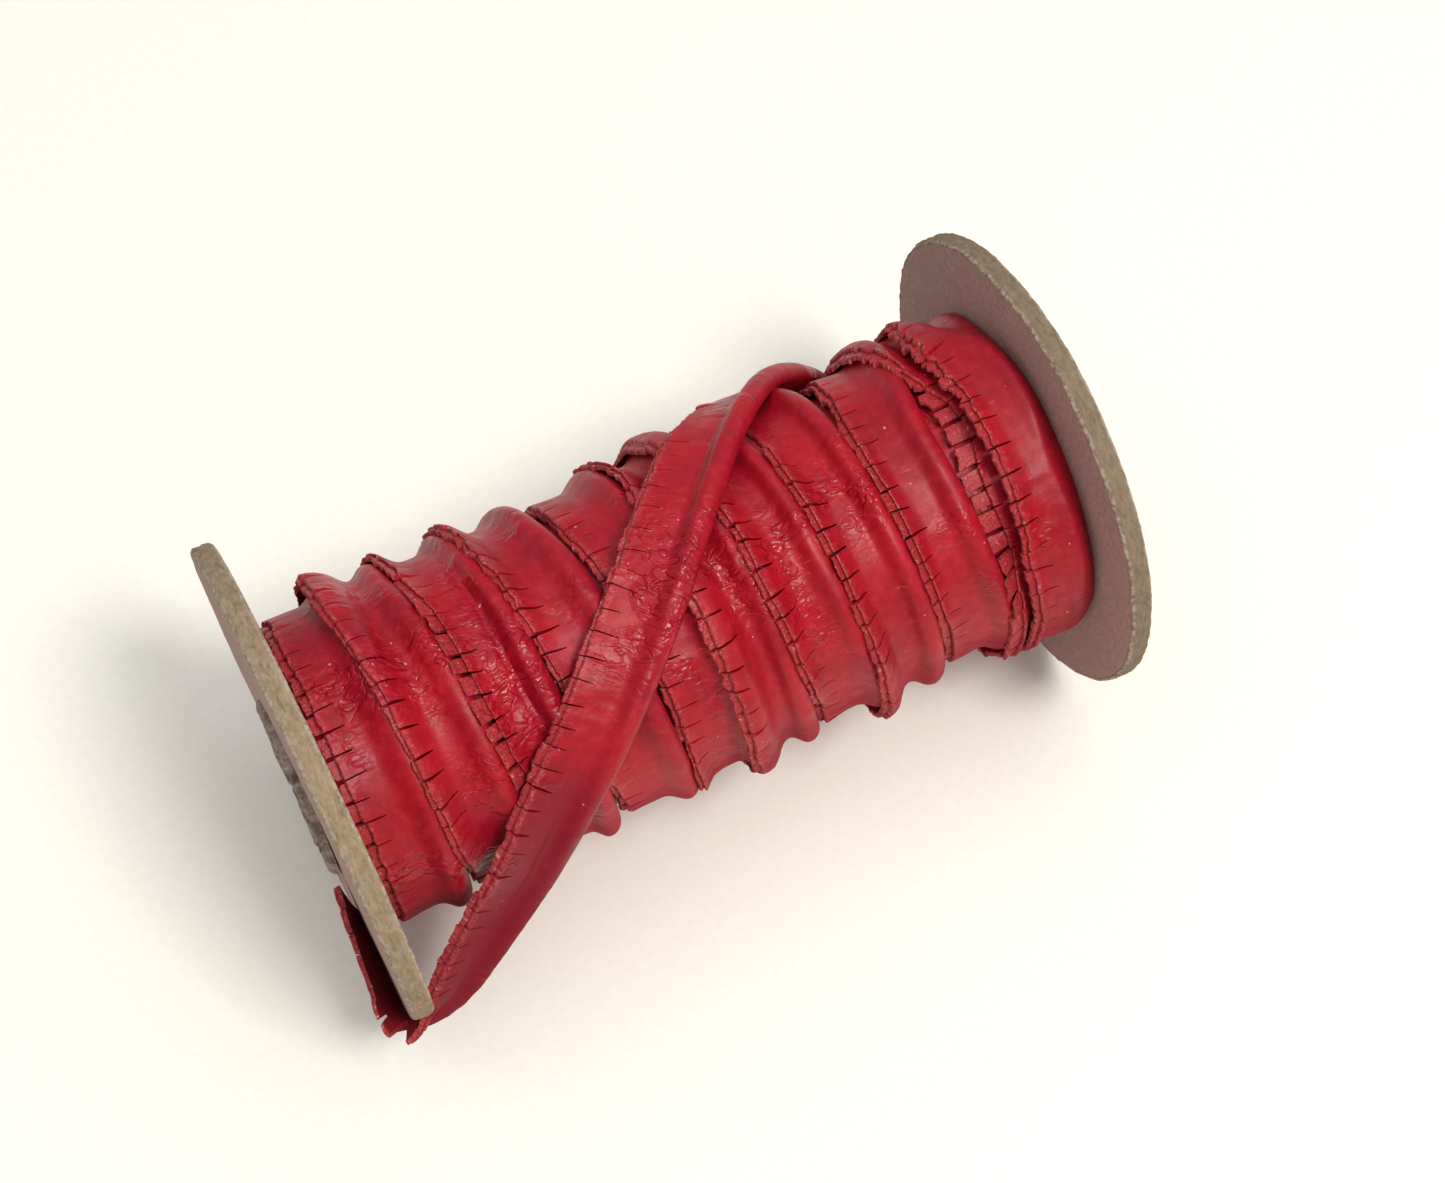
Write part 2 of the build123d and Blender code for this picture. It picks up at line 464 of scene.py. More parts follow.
def top_height(across, groove):
    """The height of the strip's upper side. The cord under it shows as a broad swelling, or
    where groove is 1 as a distinct ridge with a hollow beside it."""
    soft, tight = ease(5.2, BEAD_CREST, across), ease(6.7, 8.1, across)
    dip = 0.45 * np.exp(-(((across - GROOVE_PLACE) / 0.6) ** 2))
    rise = FLANGE + BEAD_RISE * (soft + groove * (tight - soft)) - groove * dip
    past = np.clip((across - BEAD_CREST) / BEAD_HALF, 0, 1)
    flank = (FLANGE + BEAD_RISE) * (0.42 + 0.58 * np.sqrt(1 - past**2))
    return np.where(across > BEAD_CREST, flank, rise)


def strip_section():
    """The loop of (across, height) points round the strip, nicked edge first, how many of them
    lead over its top, which of them make a nick's side walls, and the two at the nick's root."""
    loop = [  # points 0 to 2 are the lower ply's edge and 3 to 5 the upper ply's
        (0.0, 0.0), (0.0, PLY - 0.12), (0.10, PLY), (SETBACK, PLY),
        (SETBACK + 0.06, FLANGE - 0.20), (SETBACK + 0.26, FLANGE), (1.8, FLANGE), (2.6, FLANGE),
    ]
    top_root = len(loop)
    over = [NICK_DEPTH, 3.9, 4.4, 4.9, 5.4, 5.9, 6.3, 6.7, 7.1, 7.5, 7.85, 8.2, 8.5]
    over += [BEAD_CREST + BEAD_HALF * math.sin(math.radians(a)) for a in (13, 27, 42, 58, 74, 90)]
    loop += [(across, float(top_height(across, 0.0))) for across in over]
    top = len(loop)
    loop += [(10.12, 0.75), (9.85, 0.30), (9.4, 0.04), (8.8, 0.0)]
    under = [7.6, 6.4, 5.4, 4.4, NICK_DEPTH, 2.6, 1.8, SETBACK]
    root = len(loop) + under.index(NICK_DEPTH)
    loop += [(across, 0.0) for across in under]
    last = len(loop) - 1
    walls = [
        (0, 1, 2, 3, last),
        (last, 3, 4, 5, 6, last - 1),
        (last - 1, 6, 7, last - 2),
        (last - 2, 7, top_root, root),
    ]
    return np.array(loop), top, walls, top_root, root


SECTION, TOP_POINTS, NICK_WALLS, TOP_ROOT, UNDER_ROOT = strip_section()


def flat_spots(along, offset=0.0):
    """Places along a line, ready for noise that varies along it only."""
    return np.stack([along, offset + 0 * along, 0 * along], 1)


def piping_mesh(name, length, place, look, seed, columns_per_tab=8, begin=0.0):
    """The piping as one closed mesh: place(s, across, height) gives world points for distances
    along the strip. Each nick is a real slot, and each tab between two nicks is its own shape.
    look(s) gives, by name, the top ply's setback, the gap between the lower ply's blocks, the
    groove beside the bead, how torn the edge is, how far the tabs stand up (splay) and differ
    (loose), how straight they stay where the strip bends (stiff), how open the nicks are, the
    leather's painted shade and how creased it is. The mesh starts at begin along the whole strip."""
    draw = np.random.default_rng(seed)
    nicks = [0.0]
    while nicks[-1] < length - 1.4 * NICK_SPACING:
        nicks.append(nicks[-1] + NICK_SPACING * draw.uniform(0.86, 1.14))
    nicks = np.array(nicks + [length])
    tabs = len(nicks) - 1
    depth = NICK_DEPTH * draw.uniform(0.80, 1.12, tabs + 1)
    slot = draw.uniform(0.17, 0.27, tabs + 1) * look(begin + nicks)["open"]
    slant = draw.normal(0, 0.22, tabs + 1)
    lift = draw.normal(0.0, 0.10, tabs) + 0.5 * (draw.random(tabs) < 0.08)
    twist = draw.normal(0, 0.10, tabs)
    shift = draw.normal(0, 0.11, tabs)
    points = len(SECTION)
    order = np.arange(points)

    tab = np.repeat(np.arange(tabs), columns_per_tab)
    share = np.tile(np.linspace(0, 1, columns_per_tab), tabs)
    columns = len(tab)
    middle = (nicks[tab] + nicks[tab + 1]) / 2
    spot = nicks[tab] * (1 - share) + nicks[tab + 1] * share
    here = look(begin + spot)
    torn = here["torn"]
    root = (depth[tab] * (1 - share) + depth[tab + 1] * share)[:, None]
    base = SECTION[None, :, 0]
    back = here["setback"][:, None]
    wide = np.where(
        base < SETBACK,
        base,
        np.where(
            base <= NICK_DEPTH,
            back + (base - SETBACK) / (NICK_DEPTH - SETBACK) * (root - back),
            root + (base - NICK_DEPTH) / (FLANGE_END - NICK_DEPTH) * (FLANGE_END - root),
        ),
    )
    wide = np.where(base >= FLANGE_END, base, wide)

    into = np.clip(1 - wide / root, 0, 1)
    past = ease(0, 0.6, wide / root - 1)
    blocks = (order < 4) | (order == points - 1)
    sides = []
    for end in (tab, tab + 1):
        gash = slot[end][:, None] * (0.6 + 0.4 * into**0.5) + 0.5 * past * (into == 0)
        sides.append(np.where(blocks[None, :], np.maximum(gash, here["gap"][:, None]), gash))
    start = nicks[tab][:, None] + sides[0] / 2
    stop = nicks[tab + 1][:, None] - sides[1] / 2
    along = start + (stop - start) * share[:, None]
    along = along + (slant[tab] * (1 - share) + slant[tab + 1] * share)[:, None] * into

    run = along[:, 0]
    lower_edge = order < 3
    upper_edge = ((order >= 3) & (order <= 5)) | (order == points - 1)
    lower, upper = flat_spots(run), flat_spots(run, 9.0)
    ragged = noise(lower, 0.8, seed) + 0.8 * noise(lower, 0.37, seed + 4)
    frayed = noise(upper, 1.1, seed) + 0.8 * noise(upper, 0.4, seed + 4)
    drift = 0.25 * noise(flat_spots(run, 5.0), 5.0, seed)
    moved = shift[tab] * here["loose"]
    wide = wide + lower_edge * ((0.08 + torn) * ragged + moved)[:, None]
    wide = wide + upper_edge * (drift + (0.05 + torn) * frayed + 0.5 * shift[tab])[:, None]

    top = (order >= 4) & (order < TOP_POINTS)
    grooved = top_height(wide, here["groove"][:, None])
    height = np.where(((order > 5) & top)[None, :], grooved, SECTION[None, :, 1])
    bend = (lift[tab] + twist[tab] * (2 * share - 1)) * here["loose"] + here["splay"]
    swell = 0.08 * np.sin(np.pi * share)[:, None] * ease(4.6, 1.5, wide)
    high = height + bend[:, None] * into**1.4 + swell
    spots = np.stack([begin + along.ravel(), wide.ravel(), 0 * high.ravel()], 1)
    patch = ease(-0.1, 0.5, noise(spots, 14.0, 77))
    across_lines = noise(spots * np.array([1.0, 0.34, 1.0]), 0.95, 78)
    crease = (0.02 + 0.065 * patch) * across_lines + 0.045 * noise(spots, 1.9, 79)
    high = high + crease.reshape(high.shape) * (top * ease(9.9, 8.6, SECTION[:, 0]))[None, :]

    vertices = place(begin + along.ravel(), wide.ravel(), high.ravel())
    stood = place(begin + np.repeat(middle, points), wide.ravel(), high.ravel())
    ahead = place(begin + middle + 0.6, root[:, 0], 0 * middle + PLY)
    ahead = (ahead - place(begin + middle - 0.6, root[:, 0], 0 * middle + PLY)) / 1.2
    stiff = stood + (along - middle[:, None]).reshape(-1, 1) * np.repeat(ahead, points, axis=0)
    held_straight = (here["stiff"][:, None] * ease(0.0, 0.3, into)).reshape(-1, 1)
    vertices = vertices + held_straight * (stiff - vertices)

    faces = []
    cut_off = (order < TOP_ROOT) | (order >= UNDER_ROOT)
    following = (order + 1) % points
    for c in range(columns - 1):
        between_tabs = (c + 1) % columns_per_tab == 0
        keep = ~cut_off if between_tabs else np.ones(points, bool)
        a, b = c * points, (c + 1) * points
        faces += np.stack([a + order, b + order, b + following, a + following], 1)[keep].tolist()
        if between_tabs:
            for wall in NICK_WALLS:
                faces.append([a + k for k in wall])
                faces.append([b + k for k in reversed(wall)])
            faces.append([a + TOP_ROOT, b + TOP_ROOT, b + UNDER_ROOT, a + UNDER_ROOT])
    faces.append(list(range(points)))
    faces.append([(columns - 1) * points + k for k in reversed(range(points))])

    cut = np.zeros((columns, points))
    for point, share_cut in ((0, 1.0), (1, 0.9), (2, 0.60), (3, 0.35), (4, 0.9), (5, 0.35)):
        cut[:, point] = share_cut
    worn = ease(back + 1.1, back + 0.1, wide) * ((order >= 5) & (order < TOP_POINTS))[None, :]
    lengthways = np.stack([spots[:, 0] + 31.0 * seed, spots[:, 1], 0 * spots[:, 0]], 1) * MM
    under = ease(AXIS_HEIGHT + 4, AXIS_HEIGHT - 5, vertices[:, 2] / MM)
    marks = {"cut": cut, "worn": worn, "strip": lengthways, "under": under}
    # painted shade and creased patches, as look(s) gives them
    for mark in ("dark", "creased"):
        marks[mark] = here[mark][:, None] + 0 * cut
    return add_mesh(name, vertices, faces, LEATHER, 42, marks)


# ---------------------------------------------------------------- how the outer layer was wound

START_ANGLE = -90.0  # each turn is counted from the bottom, up the back and over the top
TURNS = 11
EDGE_ANGLES = (150, 120, 90, 60, 30, 0, -30)
NICKED_EDGES = (  # where each turn's nicked edge lies along the axis, at those angles
    (-49.0, -49.1, -49.1, -49.1, -49.0, -48.9, -48.6),
    (-42.8, -42.7, -41.3, -40.5, -39.9, -38.5, -37.6),
    (-33.7, -32.5, -31.7, -31.4, -30.1, -29.0, -28.0),
    (-25.0, -23.7, -22.0, -21.0, -20.0, -18.5, -16.8),
    (-13.0, -12.2, -11.1, -10.2, -9.3, -8.5, -6.4),
    (-3.9, -2.9, -3.7, -2.9, -2.5, -1.3, 0.6),
    (2.0, 3.6, 5.3, 5.7, 7.0, 9.2, 11.4),
    (13.5, 14.5, 14.7, 15.2, 16.1, 17.2, 18.8),
    (27.3, 26.2, 24.6, 24.9, 25.9, 28.0, 29.6),
    (32.5, 34.2, 36.6, 35.4, 36.0, 36.3, 36.9),
    (40.0, 38.9, 39.1, 39.0, 38.7, 39.7, 40.2),
)
BINS = 720  # round the spool
BIN = 360.0 / BINS
LANES = 52  # across the strip
LANE = STRIP_WIDTH / (LANES - 1)
CELL = 0.1  # along the axis
RAISED_EDGES = (  # turn, angle, spread of angle, height: where a nicked edge stands up
    (1, 138, 34, 0.9),
    (2, 128, 30, 0.5),
    (5, 118, 22, 0.5),
    (7, -10, 26, 0.5),
    (8, 140, 30, 0.4),
    (10, 66, 46, 2.4),
    (10, -18, 26, 0.7),
    (4, -12, 18, 0.5),
)

EDGE_LOOKS = (  # turn, angle, spread of angle, setback, gap between the lower ply's blocks, torn
    (0, 40, 150, 1.00, 0.55, 0.15),
    (1, 60, 150, 0.50, 0.20, 0.03),
    (2, 125, 25, 1.00, 0.20, 0.22),
    (2, 60, 42, 1.85, 0.50, 0.03),
    (3, 120, 30, 0.60, 0.25, 0.30),
    (3, 60, 60, 0.45, 0.20, 0.08),
    (4, 60, 90, 0.45, 0.20, 0.06),
    (5, 120, 22, 0.80, 0.35, 0.16),
    (5, 20, 60, 0.75, 0.25, 0.10),
    (6, 60, 90, 0.75, 0.25, 0.03),
    (7, 60, 90, 0.85, 0.20, 0.03),
    (8, 110, 30, 0.70, 0.20, 0.10),
    (8, 40, 70, 1.05, 0.20, 0.03),
    (9, 125, 26, 1.20, 0.30, 0.30),
    (9, 60, 42, 2.55, 0.75, 0.08),
    (9, 0, 30, 1.70, 0.40, 0.08),
    (10, 110, 34, 0.85, 0.25, 0.45),
    (10, 50, 60, 0.90, 0.25, 0.10),
)
GROOVES = (  # turn, angle, spread of angle, groove: where the bead is a ridge beside a hollow
    (1, 60, 20, 0.25),
    (2, 70, 75, 1.0),
    (4, 60, 60, 0.35),
    (5, 30, 60, 0.4),
    (6, 60, 70, 0.4),
    (7, 60, 70, 0.5),
    (8, 60, 70, 0.3),
)
CREASES = (  # turn, angle, spread of angle: where the leather is creased and glossy
    (0, 88, 15),
    (1, 84, 15),
    (2, 68, 24),
    (5, 68, 15),
    (6, 68, 16),
    (7, 76, 12),
)
PLAIN_LOOK = (0.7, 0.22, 0.05)  # setback, gap and torn where the table says nothing
PLAIN_WEIGHT = 0.02
LAST_EDGES = ((0, 39.9), (60, 37.6))  # degrees past the last whole turn, and the edge there
PRESSED_ACROSS, PRESSED_IN = 0.30, 0.45  # how far the strip may sink into what is under it

knot_turns, knot_edges = [0.0], [NICKED_EDGES[0][0]]
for turn, row in enumerate(NICKED_EDGES):
    for angle, along in zip(EDGE_ANGLES, row):
        knot_turns.append(360.0 * turn + (START_ANGLE - angle) % 360)
        knot_edges.append(along)
for past, along in LAST_EDGES:
    knot_turns.append(360.0 * TURNS + past)
    knot_edges.append(along)

WOUND = np.arange(TURNS * BINS + BINS // 6) * BIN  # angle wound since the start
EDGE_LINE = through(knot_turns, knot_edges, WOUND)
GROUND = LAYER_TOP + 0.35  # the radius that the outer turns lie on, before it is made uneven
LEAN = np.gradient(EDGE_LINE, np.radians(WOUND)) / (GROUND + 2 * PLY)
COSINE = 1 / np.sqrt(1 + LEAN**2)


def nearness(turn, angle, spread):
    """For each bin wound, 1 at this angle of this turn, fading to 0 away from it."""
    middle = 360.0 * turn + (START_ANGLE - angle) % 360
    near = np.exp(-(((WOUND - middle) / spread) ** 2))
    return near * (np.floor(WOUND / 360.0) == turn)


def look_of_winding():
    """Each bin's setback, gap and torn edge as one array, and its groove, from the tables."""
    total = np.full(len(WOUND), PLAIN_WEIGHT)
    looks = PLAIN_WEIGHT * np.array(PLAIN_LOOK)[:, None] * np.ones(len(WOUND))
    for turn, angle, spread, *values in EDGE_LOOKS:
        near = nearness(turn, angle, spread) ** 2
        total += near
        looks += near * np.array(values)[:, None]
    groove = 0.08 + sum(nearness(*place) * depth for *place, depth in GROOVES)
    return blur(looks / total, 12.0, 1), blur(np.clip(groove, 0, 1), 12.0, 0)


EDGE_LOOK, GROOVE = look_of_winding()
CREASED = np.clip(sum(nearness(*place) for place in CREASES), 0, 1)


def lay_turns():
    """Lays the strip on what is under it, turn by turn. Returns the radius of its lower side
    for every bin wound and lane across, the finished surface's radius for every bin and cell,
    and the cells' places along the axis."""
    cells = np.arange(LEFT_INNER, RIGHT_INNER + CELL, CELL)
    around = np.radians(np.arange(BINS) * BIN)
    surface = np.empty((BINS, len(cells)))
    for k in range(BINS):
        y, z = 14 * np.cos(around[k]) + 0 * cells, 14 * np.sin(around[k]) + 0 * cells
        spots = np.stack([cells, y, z], 1)
        surface[k] = GROUND + 0.16 * noise(spots, 8.0, 5) + 0.10 * noise(spots, 3.5, 6)
    lanes = np.arange(LANES) * LANE
    lower = np.zeros((len(WOUND), LANES))
    total = len(WOUND)
    for first in range(0, total, BINS):
        rows = np.arange(first, min(first + BINS, total))
        spots = EDGE_LINE[rows][:, None] + lanes[None, :] / COSINE[rows][:, None]
        raw = np.stack([np.interp(spot, cells, surface[r % BINS]) for spot, r in zip(spots, rows)])
        bed = blur(spread_max(raw, 5, 1), 4.5, 1)
        bed = np.maximum(bed, raw - PRESSED_ACROSS)
        before = lower[max(0, first - 40):first]
        joined = blur(np.concatenate([before, bed]), 8.0, 0)[len(before):]
        lower[rows] = np.maximum(joined, raw - PRESSED_IN)
        for turn, angle, spread, height in RAISED_EDGES:
            raised = height * nearness(turn, angle, spread)[rows]
            lower[rows] += raised[:, None] * ease(4.2, 0.0, lanes)[None, :]
        for i, row in enumerate(rows):
            rise = np.where(lanes < EDGE_LOOK[0, row], PLY, top_height(lanes, GROOVE[row]))
            crown = np.interp(cells, spots[i], lower[row] + rise, left=-1, right=-1)
            surface[row % BINS] = np.maximum(surface[row % BINS], crown)
    return lower, surface, cells


LOWER, SURFACE, CELLS = lay_turns()


def read_grid(grid, row, column, wrap_rows=False):
    """Bilinear reading of a grid at fractional rows and columns."""
    rows, columns = grid.shape
    column = np.clip(column, 0, columns - 1.001)
    row = row % rows if wrap_rows else np.clip(row, 0, rows - 1.001)
    r, c = np.floor(row).astype(int), np.floor(column).astype(int)
    r2 = (r + 1) % rows if wrap_rows else r + 1
    fr, fc = row - r, column - c
    return (
        grid[r, c] * (1 - fr) * (1 - fc)
        + grid[r2, c] * fr * (1 - fc)
        + grid[r, c + 1] * (1 - fr) * fc
        + grid[r2, c + 1] * fr * fc
    )


MEAN_RADIUS = GROUND + PLY
RUN = np.concatenate(
    [[0.0], np.cumsum(np.hypot(np.diff(EDGE_LINE), np.radians(BIN) * MEAN_RADIUS))]
)


def on_winding(s, across, height):
    """World points of the outer layer, from distances along the strip from its start."""
    row = np.interp(s, RUN, np.arange(len(RUN)))
    edge = np.interp(row, np.arange(len(RUN)), EDGE_LINE)
    cosine = np.interp(row, np.arange(len(RUN)), COSINE)
    base = read_grid(LOWER, row, across / LANE)
    along = np.clip(edge + across / cosine, LEFT_INNER + 0.12, RIGHT_INNER - 0.12)
    return to_world(along, np.radians(START_ANGLE - row * BIN), base + height)


def look_on_winding(s):
    """The strip's look at distances along the outer layer."""
    row = np.interp(s, RUN, np.arange(len(RUN)))
    rows = np.arange(len(RUN))
    setback, gap, torn = (np.interp(row, rows, values) for values in EDGE_LOOK)
    wander = 0.22 * noise(flat_spots(s, 3.0), 16.0, 91)
    return {
        "setback": setback,
        "gap": gap,
        "torn": torn,
        "groove": np.clip(np.interp(row, rows, GROOVE) + wander, 0, 1),
        "creased": np.interp(row, rows, CREASED),
        "splay": 0 * s,
        "loose": 1 + 0 * s,
        "stiff": 0.45 + 0 * s,
        "open": 1 + 0 * s,
        "dark": 0 * s,
    }


# ---------------------------------------------------------------- the tail

TAIL_ROUTE = (  # along the axis, angle, radius: the centre line of the loose tail
    (42.4, -120, 25.2),
    (36.4, -150, 25.0),
    (28.6, -180, 25.2),
    (20.4, -209, 25.0),
    (11.4, -238, 25.1),
    (0.3, -268, 25.0),
    (-12.2, -299, 25.0),
    (-24.2, -329, 25.0),
    (-34.6, -358, 24.2),
    (-42.0, -377, 27.4),
    (-48.0, -391, 32.4),
    (-53.5, -396, 33.4),
    (-53.4, -400, 24.5),
    (-52.9, -403, 12.6),
)
TAIL_ROOT = (44.8, -92, 23.6)  # where it leaves the last turn, under the spool
LEAVES_WINDING = (-330, -356)  # between these angles the tail comes off the winding
FREE_FACE = (  # along the axis, and the angle that the free stretch's upper side faces
    (-24.0, 30),
    (-27.0, 15),
    (-30.0, 5),
    (-34.0, 0),
    (-38.5, -6),
    (-42.0, -15),
    (-46.0, -29),
    (-51.0, -36),
)
TAIL_LEAN = 25.0  # on the left disc's face the nicked edge stands off by up to this angle
PRESSED_THIN = 0.42  # and there the strip is thinner by this share
END_SLANT = 7.0  # the end is cut this far out of square, longest at the nicked edge


def spline_points(places, name):
    """Points, in metres, of a smooth line that the given places on the spool shape. It starts
    at the first, passes near the others and ends at the last."""
    curve = bpy.data.curves.new(name, "CURVE")
    curve.dimensions = "3D"
    curve.resolution_u = 40
    line = curve.splines.new("NURBS")
    line.points.add(len(places) - 1)
    for point, (along, angle, radius) in zip(line.points, places):
        spot = to_world(np.float64(along), np.radians(angle), radius)
        point.co = (*spot, 1)
    line.order_u = 3
    line.use_endpoint_u = True
    holder = bpy.data.objects.new(name, curve)
    bpy.context.collection.objects.link(holder)
    mesh = bpy.data.meshes.new_from_object(holder)
    points = np.array([v.co[:] for v in mesh.vertices])
    bpy.data.objects.remove(holder)
    bpy.data.meshes.remove(mesh)
    return points


def tail_frame(points):
    """For each point of the tail's line: its distance along and its place in millimetres, the
    directions to the bead's side and outwards, and its angle round the axis in radians."""
    spots = points / MM
    steps = np.linalg.norm(np.diff(spots, axis=0), axis=1)
    run = np.concatenate([[0], np.cumsum(steps)])
    ahead = np.gradient(spots, run, axis=0)
    ahead /= np.linalg.norm(ahead, axis=1)[:, None]
    radial = spots - np.array([0, 0, AXIS_HEIGHT])
    radial[:, 0] = 0
    angle = np.unwrap(np.arctan2(radial[:, 2], -radial[:, 1]))
    angle -= 2 * np.pi * round((angle[0] - math.radians(TAIL_ROOT[1])) / (2 * np.pi))
    radial /= np.linalg.norm(radial, axis=1)[:, None]
    along, faces = np.array(FREE_FACE[::-1]).T
    face = np.radians(through(along, faces, np.maximum(spots[:, 0], along[0])))
    facing = np.stack([0 * face, -np.cos(face), np.sin(face)], 1)
    free = ease(along[-1] + 2, along[-1] - 2, spots[:, 0])[:, None]
    beyond = ease(LEFT_INNER - 1.6, LEFT_OUTER - 1.9, spots[:, 0])[:, None]
    out = radial * (1 - free) + facing * free
    out = out * (1 - beyond) + np.array([-1.0, 0, 0]) * beyond
    out -= ahead * np.sum(out * ahead, axis=1)[:, None]
    out /= np.linalg.norm(out, axis=1)[:, None]
    side = np.cross(ahead, out)
    side *= np.sign(side[len(side) // 2][0])
    return run, spots, side, out, angle


TAIL_POINTS = spline_points((TAIL_ROOT,) + TAIL_ROUTE, "tail_route")
TAIL_RUN, TAIL_SPOTS, TAIL_SIDE, TAIL_OUT, TAIL_ANGLE = tail_frame(TAIL_POINTS)


def lean_tail():
    """Rolls the strip about its own line on the left disc's face, nicked edge outwards."""
    past_rim = ease(LEFT_OUTER + 1.0, LEFT_OUTER - 2.5, TAIL_SPOTS[:, 0])
    from_axis = np.hypot(TAIL_SPOTS[:, 1], TAIL_SPOTS[:, 2] - AXIS_HEIGHT)
    roll = np.radians(TAIL_LEAN) * past_rim * ease(-6, 22, from_axis)
    side = TAIL_SIDE * np.cos(roll)[:, None] - TAIL_OUT * np.sin(roll)[:, None]
    out = TAIL_OUT * np.cos(roll)[:, None] + TAIL_SIDE * np.sin(roll)[:, None]
    return side, out


TAIL_SIDE, TAIL_OUT = lean_tail()
TAIL_HELD = ease(math.radians(LEAVES_WINDING[1]), math.radians(LEAVES_WINDING[0]), TAIL_ANGLE)


def tail_bed():
    """The radius of the tail's lower side where it lies on the turns below."""
    lanes = np.arange(LANES) * LANE
    across = lanes[None, :, None] - STRIP_WIDTH / 2
    spots = TAIL_SPOTS[:, None, :] + TAIL_SIDE[:, None, :] * across
    angle = np.arctan2(spots[..., 2] - AXIS_HEIGHT, -spots[..., 1])
    row = (START_ANGLE - np.degrees(angle)) % 360 / BIN
    column = (spots[..., 0] - CELLS[0]) / CELL
    raw = read_grid(SURFACE, row.ravel(), column.ravel(), True).reshape(row.shape)
    bed = blur(spread_max(spread_max(raw, 6, 1), 10, 0), 8.0, 1)
    bed = np.maximum(blur(bed, 26.0, 0), blur(blur(raw, 4.0, 0), 3.0, 1) - 0.15)
    return blur(blur(bed, 8.0, 0), 3.0, 1)


TAIL_BED = tail_bed()


def on_tail(s, across, height):
    """World points of the tail, from distances along it. The strip is pressed thinner where it
    lies on the left disc's face."""
    s = s - END_SLANT * across / STRIP_WIDTH * ease(TAIL_RUN[-1] - 14, TAIL_RUN[-1], s)
    row = np.interp(s, TAIL_RUN, np.arange(len(TAIL_RUN)))
    along = np.interp(s, TAIL_RUN, TAIL_SPOTS[:, 0])
    height = height * (1 - PRESSED_THIN * ease(LEFT_OUTER + 0.5, LEFT_OUTER - 1.5, along))
    k = np.clip(np.floor(row).astype(int), 0, len(TAIL_RUN) - 2)
    part = (row - k)[:, None]

    def read(values):
        return values[k] * (1 - part) + values[k + 1] * part

    side, out = read(TAIL_SIDE), read(TAIL_OUT)
    free = read(TAIL_SPOTS) + side * (across - STRIP_WIDTH / 2)[:, None]
    angle = np.arctan2(free[:, 2] - AXIS_HEIGHT, -free[:, 1])
    base = read_grid(TAIL_BED, row, across / LANE)
    held = to_world(free[:, 0], angle, base + height) / MM
    free = free + out * (height - PLY)[:, None]
    share = read(TAIL_HELD[:, None])
    return MM * (held * share + free * (1 - share))


def look_on_tail(s):
    """The tail's look: painted shade lies on the leather towards its end, the tabs stand up where it
    bends sharply round the disc's rim, and beyond the rim the nicks are nearly closed."""
    along = np.interp(s, TAIL_RUN, TAIL_SPOTS[:, 0])
    angle = np.degrees(np.interp(s, TAIL_RUN, TAIL_ANGLE))
    rim = np.interp(-LEFT_OUTER, -TAIL_SPOTS[:, 0], TAIL_RUN)
    at_rim = np.exp(-(((s - rim) / 4.0) ** 2))
    inside = ease(-43, -47, along) * (s < rim)
    beyond = ease(rim, rim + 5, s)
    low = ease(-20, -30, along)
    top = np.exp(-(((angle + 240) / 45) ** 2))
    return {
        "setback": 0.60 - 0.42 * beyond,
        "gap": 0.14 - 0.09 * beyond + 0.3 * at_rim,
        "torn": 0.05 + 0.09 * beyond,
        "groove": 0.38 + 0.16 * top + 0.28 * ease(-18, -30, along),
        "creased": np.exp(-(((angle + 284) / 18) ** 2)),
        "splay": 1.6 * at_rim,
        "loose": 1 - 0.8 * beyond,
        "stiff": 1 - 0.7 * beyond,
        "open": (0.65 + 0.3 * low) * (1 - 0.8 * beyond) + 2.6 * at_rim + 1.3 * inside,
        # painted shade on the tail's lower stretch
        "dark": 1.1 * ease(-17, -31, along),
    }


tail = piping_mesh("tail", TAIL_RUN[-1], on_tail, look_on_tail, 31, 9)
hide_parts("piping_tail")
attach(tail, "root")

# ---------------------------------------------------------------- the outer layer

STRETCHES = ((0, 4), (4, 8), (8, 11))  # turns in each mesh
OVERRUN = 8  # bins that the last turn goes on past the bottom, to overlap the tail's start
for number, (first, last) in enumerate(STRETCHES):
    begin = RUN[first * BINS]
    end = RUN[min(last * BINS + (OVERRUN if last == TURNS else 0), len(RUN) - 1)]
    piece = piping_mesh(
        f"outer_turns_{number + 1}",
        end - begin,
        on_winding,
        look_on_winding,
        11 + number,
        begin=begin,
    )
    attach(piece, "root")
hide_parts("piping_outer_layer")

# ---------------------------------------------------------------- the greyboard discs

RIM_ROWS = 13
FACE_RINGS = 22
DISC_STEPS = 640
HOLE_UNDER_LIP = 1.25  # the core's rolled lip reaches this far past the disc's hole


